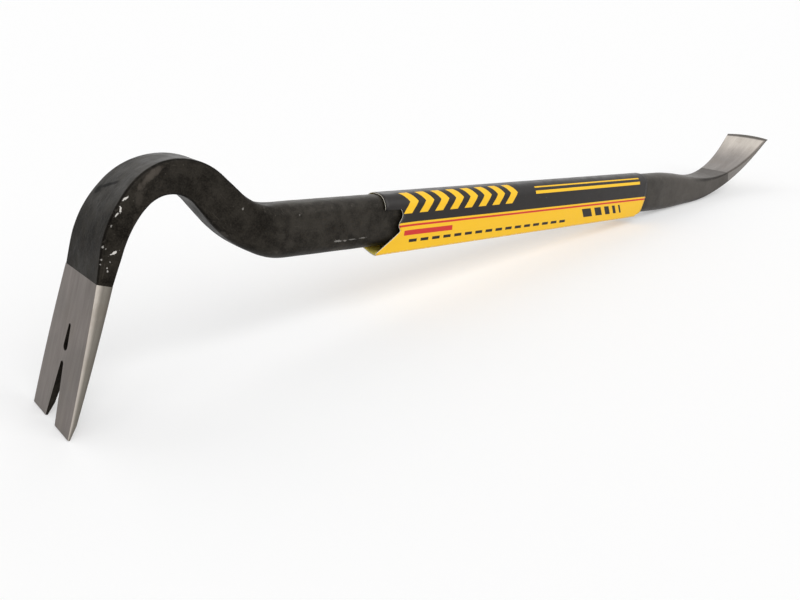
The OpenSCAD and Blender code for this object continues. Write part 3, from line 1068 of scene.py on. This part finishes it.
def speed_bars(art):
    """Leaning bars that get narrower along the card."""
    lean = art.leaning(sum(BAR_HEIGHTS) / 2, BAR_LEAN)
    bars = art.either(*[art.inside(lean, left, left + width) for left, width in BARS])
    return art.finish.times(bars, art.inside(art.y, *BAR_HEIGHTS))


def dash_row(art):
    """A dashed line along the fold."""
    return art.finish.times(art.box(*DASH_BOX), art.inside(art.repeat(art.x, DASH_PITCH), 0.5, DASH_W))


def printed_card():
    """Coated, printed card, worn pale along its folds, with a slight orange-peel of its coating."""
    finish = Finish("printed_card")
    art = Print(finish)
    place = finish.stored("print")
    band = art.inside(art.y, BAND_LOW, ARCH_LEN)
    rules = art.either(*[art.box(*sides) for sides in RULE_BOXES])
    red = art.either(*[art.box(*sides) for sides in RED_BOXES])
    colour = finish.mix(band, YELLOW, INK)
    colour = finish.mix(art.either(chevron_row(art), rules), colour, YELLOW)
    colour = finish.mix(art.either(speed_bars(art), dash_row(art)), colour, INK)
    colour = finish.mix(red, colour, RED)
    cracks = finish.between(finish.noise(finish.scaled(place, 500, 900, 0), 1, 4, 0.7), 0.5, 0.62)
    colour = finish.mix(finish.times(art.crease, cracks, 0.75), colour, PAPER)
    scuffs = finish.between(finish.noise(finish.scaled(place, 160, 420, 0), 1, 5, 0.75), 0.66, 0.74)
    colour = finish.mix(finish.times(scuffs, 0.3), colour, PAPER)
    coating = finish.noise(finish.scaled(place, 1, 1, 0), 160, 3)
    finish.set(Base_Color=colour, Specular_IOR_Level=0.3)
    finish.set(Roughness=finish.between(coating, 0.3, 0.7, 0.3, 0.44))
    ripples = finish.bump(finish.noise(finish.scaled(place, 1, 1, 0), 75, 4), 0.3 * MM, 0.4)
    finish.set(Normal=finish.bump(coating, 0.04 * MM, 0.5, ripples))
    return finish.material


def plain_card(name, colour, fleck):
    """Unprinted card, with its fibres."""
    finish = Finish(name)
    place = finish.stored("print")
    fibres = finish.noise(finish.scaled(place, 500, 1600, 0), 1, 3, 0.7)
    finish.set(Base_Color=finish.mix(finish.between(fibres, 0.35, 0.7), colour, fleck), Roughness=0.75)
    finish.set(Normal=finish.bump(fibres, 0.05 * MM, 0.4))
    return finish.material


# Stage

FLOOR_HALF = 30
FLOOR_TONE = 0.7
FLOOR_GLOW = 0.288
SURROUND = 0.45


def seen_by_eye(tree):
    """1 for what is seen, also in a reflection or through glass, and 0 for the light that falls on things."""
    path = tree.nodes.new("ShaderNodeLightPath")
    seen = path.outputs["Is Camera Ray"]
    for ray in ("Is Glossy Ray", "Is Transmission Ray"):
        either = tree.nodes.new("ShaderNodeMath")
        either.operation = "MAXIMUM"
        tree.links.new(seen, either.inputs[0])
        tree.links.new(path.outputs[ray], either.inputs[1])
        seen = either.outputs[0]
    return seen


def white_world():
    """A white surround for the eye, and part of a plain light level for the rest."""
    world = bpy.data.worlds.new("surround")
    world.use_nodes = True
    tree = world.node_tree
    level = tree.nodes.new("ShaderNodeMapRange")
    level.inputs["To Min"].default_value = SURROUND
    level.inputs["To Max"].default_value = 1
    tree.links.new(seen_by_eye(tree), level.inputs["Value"])
    background = tree.nodes["Background"]
    background.inputs["Color"].default_value = (1, 1, 1, 1)
    tree.links.new(level.outputs[0], background.inputs["Strength"])
    bpy.context.scene.world = world


def pale_floor():
    finish = Finish("pale_floor")
    glow = finish.math("MULTIPLY", seen_by_eye(finish.tree), FLOOR_GLOW)
    finish.set(Base_Color=(FLOOR_TONE, FLOOR_TONE, FLOOR_TONE, 1), Roughness=0.9, Specular_IOR_Level=0.0)
    finish.set(Emission_Color=(1, 1, 1, 1), Emission_Strength=glow)
    far = FLOOR_HALF
    mesh = bpy.data.meshes.new("pale_floor")
    mesh.from_pydata([(-far, -far, 0), (far, -far, 0), (far, far, 0), (-far, far, 0)], [], [(0, 1, 2, 3)])
    mesh.materials.append(finish.material)
    plane = bpy.data.objects.new("pale_floor", mesh)
    bpy.context.scene.collection.objects.link(plane)


def soft_lamp(name, towards, degrees, strength):
    """A wide, far lamp that shines from a direction."""
    light = bpy.data.lights.new(name, "SUN")
    light.angle = math.radians(degrees)
    light.energy = strength
    lamp = bpy.data.objects.new(name, light)
    lamp.rotation_euler = Vector(towards).to_track_quat("Z", "Y").to_euler()
    bpy.context.scene.collection.objects.link(lamp)


def camera():
    lens = bpy.data.cameras.new("camera")
    lens.sensor_width = SENSOR_MM
    lens.lens = CAMERA_FOCAL * SENSOR_MM
    lens.clip_start = 0.01
    eye = bpy.data.objects.new("camera", lens)
    forward = Vector(CAMERA_FORWARD).normalized()
    right = forward.cross(Vector(CAMERA_UP)).normalized()
    turn = Matrix((right, right.cross(forward), -forward)).transposed().to_4x4()
    eye.matrix_world = STAND @ Matrix.Translation(Vector(CAMERA_PLACE) * MM) @ turn
    bpy.context.scene.collection.objects.link(eye)
    bpy.context.scene.camera = eye


def dress(piece, body, slot, *nodes):
    """Lets a piece ride on a body and stand for CAD nodes; the slot is not used."""
    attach(piece, body)
    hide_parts(*nodes)


def build_bar():
    paint = black_paint()
    chisel_root = SHANK_LEN + BLADE_ROOT_S
    gooseneck = loft_piece("painted_gooseneck", -PAINT_S, 0, RING_STEP, paint)
    shank = loft_piece("painted_shank", 0, SHANK_LEN, SHANK_RING_STEP, paint)
    neck = loft_piece("painted_neck", SHANK_LEN, chisel_root, RING_STEP, paint)
    blade = loft_piece("ground_blade", chisel_root, SHANK_LEN + CHISEL_END_S, RING_STEP / 2, blade_steel())
    dress(claw_piece([face_steel(), side_steel(), paint]), "bar", "bare_steel", "claw")
    dress(gooseneck, "bar", "black_paint", "gooseneck")
    dress(shank, "bar", "black_paint", "shank")
    dress(neck, "bar", "black_paint", "chisel_neck")
    dress(blade, "bar", "bare_steel", "chisel_blade")


SLEEVE_NODES = [
    "sleeve_top_panel",
    "sleeve_front_shoulder",
    "sleeve_back_shoulder",
    "sleeve_front_panel",
    "sleeve_back_panel",
    "sleeve_bottom_panel",
    "sleeve_glue_flap",
]


def build_sleeve():
    inside = plain_card("plain_card", srgb(250, 226, 92), srgb(255, 236, 120))
    cut = plain_card("cut_card", srgb(222, 214, 194), srgb(240, 236, 226))
    dress(card_piece([printed_card(), inside, cut]), "sleeve", "printed_card", *SLEEVE_NODES)


bpy.context.scene.view_settings.view_transform = "Standard"
white_world()
pale_floor()
soft_lamp("key", (0.2, -0.75, 0.63), 60, 1.95)
soft_lamp("back", (0.2, 0.8, 0.55), 70, 0.9)
camera()
build_bar()
build_sleeve()
